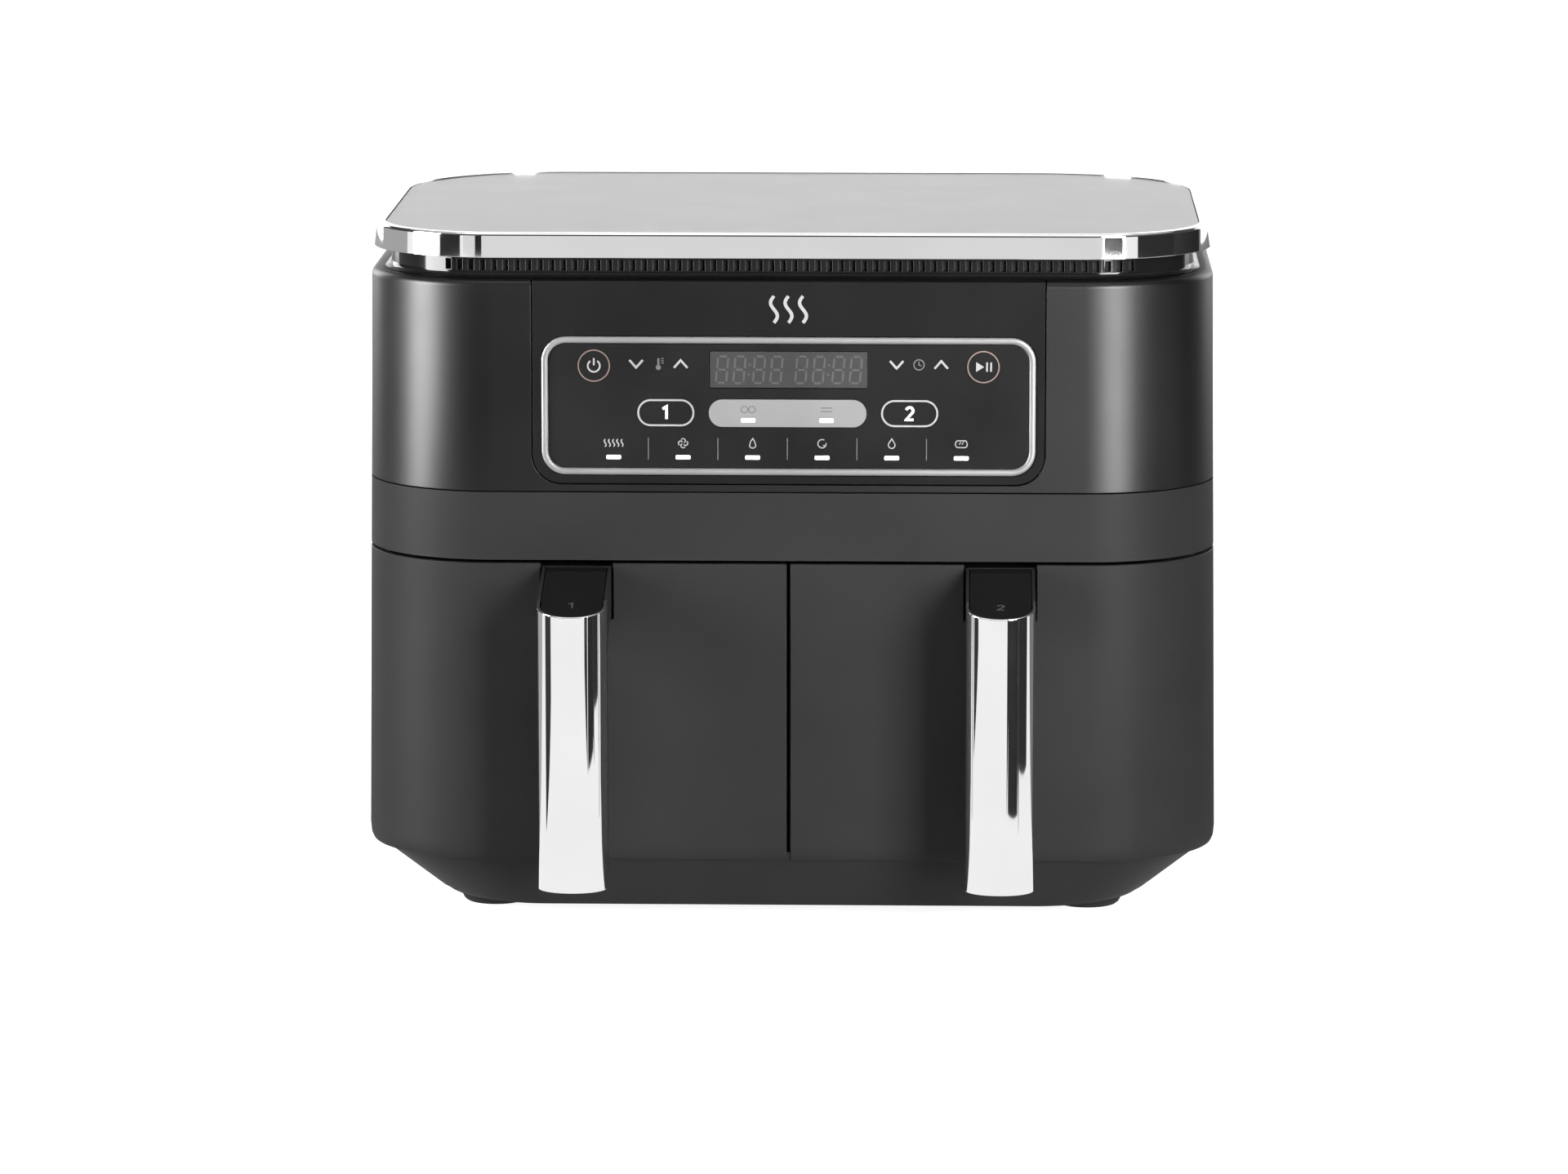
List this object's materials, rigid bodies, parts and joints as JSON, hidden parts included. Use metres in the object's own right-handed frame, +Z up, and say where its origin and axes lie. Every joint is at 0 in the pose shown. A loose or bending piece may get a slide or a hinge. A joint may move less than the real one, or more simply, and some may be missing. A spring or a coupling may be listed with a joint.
{
  "type": "air fryer",
  "caption": "Countertop air fryer with a rounded housing, touch panel, metal lid and side-by-side cooking drawers with hanging handles, crisper plates, heaters and fans.",
  "frame": {"origin": "on the surface the air fryer stands on, under the middle of its overall box, handles included", "axes": "+X to the right seen from the front, +Y to the back, +Z up; the drawers pull out along -Y"},
  "size_m": [0.3898, 0.325, 0.315],
  "materials": {
    "matte_graphite": "matt, finely textured",
    "satin_graphite": "satin metallic lacquer",
    "gloss_black": "gloss",
    "smoked_lens": "satin, lightly smoked",
    "bright_chrome": "mirror polish",
    "silver_trim": "satin",
    "brushed_top": "fine brushed, along X",
    "steel_sheet": "plain sheet",
    "cavity_sheet": "plain aluminised sheet",
    "heater_steel": "dull, heat tinted",
    "non_stick": "satin non-stick coating",
    "rubber": "matt",
    "silicone": "satin",
    "circuit_board": "satin lacquer"
  },
  "bodies": {
    "housing": {"base_tray": "matte_graphite", "body_shell": "matte_graphite", "upper_shell": "satin_graphite", "control_fascia": "matte_graphite", "trim_frame": "silver_trim", "control_panel": "gloss_black", "display_lens": "smoked_lens", "control_board": "circuit_board", "vent_ring": "gloss_black", "lid_band": "bright_chrome", "lid_plate": "brushed_top", "rear_vent": "matte_graphite", "cord_gland": "rubber", "power_board": "circuit_board", "right_front_foot": "rubber", "left_front_foot": "rubber", "right_rear_foot": "rubber", "left_rear_foot": "rubber", "right_cavity": "cavity_sheet", "left_cavity": "cavity_sheet", "right_heater": "heater_steel", "left_heater": "heater_steel", "right_heater_guard": "steel_sheet", "left_heater_guard": "steel_sheet", "right_motor": "steel_sheet", "left_motor": "steel_sheet", "right_motor_bracket": "steel_sheet", "left_motor_bracket": "steel_sheet"},
    "left_drawer": {"left_basket": "non_stick", "left_drawer_front": "matte_graphite", "left_drawer_liner": "matte_graphite", "left_handle_core": "matte_graphite", "left_handle_trim": "bright_chrome", "left_handle_cap": "gloss_black", "left_lower_handle_screw": "steel_sheet", "left_upper_handle_screw": "steel_sheet"},
    "right_drawer": {"right_basket": "non_stick", "right_drawer_front": "matte_graphite", "right_drawer_liner": "matte_graphite", "right_handle_core": "matte_graphite", "right_handle_trim": "bright_chrome", "right_handle_cap": "gloss_black", "right_lower_handle_screw": "steel_sheet", "right_upper_handle_screw": "steel_sheet"},
    "left_plate": {"left_crisper_plate": "non_stick", "left_front_outer_pad": "silicone", "left_front_inner_pad": "silicone", "left_rear_outer_pad": "silicone", "left_rear_inner_pad": "silicone"},
    "right_plate": {"right_crisper_plate": "non_stick", "right_front_outer_pad": "silicone", "right_front_inner_pad": "silicone", "right_rear_outer_pad": "silicone", "right_rear_inner_pad": "silicone"},
    "left_rotor": {"left_motor_shaft": "steel_sheet", "left_convection_fan": "steel_sheet", "left_cooling_fan": "matte_graphite"},
    "right_rotor": {"right_motor_shaft": "steel_sheet", "right_convection_fan": "steel_sheet", "right_cooling_fan": "matte_graphite"}
  },
  "joints": [
    {"name": "left_drawer_slide", "type": "slide", "parent": "housing", "child": "left_drawer", "axis": [0, -1, 0], "range_m": [0, 0.24]},
    {"name": "right_drawer_slide", "type": "slide", "parent": "housing", "child": "right_drawer", "axis": [0, -1, 0], "range_m": [0, 0.24]},
    {"name": "left_plate_lift", "type": "slide", "parent": "left_drawer", "child": "left_plate", "axis": [0, 0, 1], "range_m": [0, 0.09]},
    {"name": "right_plate_lift", "type": "slide", "parent": "right_drawer", "child": "right_plate", "axis": [0, 0, 1], "range_m": [0, 0.09]},
    {"name": "left_fan_spin", "type": "hinge", "parent": "housing", "child": "left_rotor", "pos_m": [-0.0955, 0.034, 0.19], "axis": [0, 0, 1], "continuous": true},
    {"name": "right_fan_spin", "type": "hinge", "parent": "housing", "child": "right_rotor", "pos_m": [0.0955, 0.034, 0.19], "axis": [0, 0, 1], "continuous": true}
  ]
}
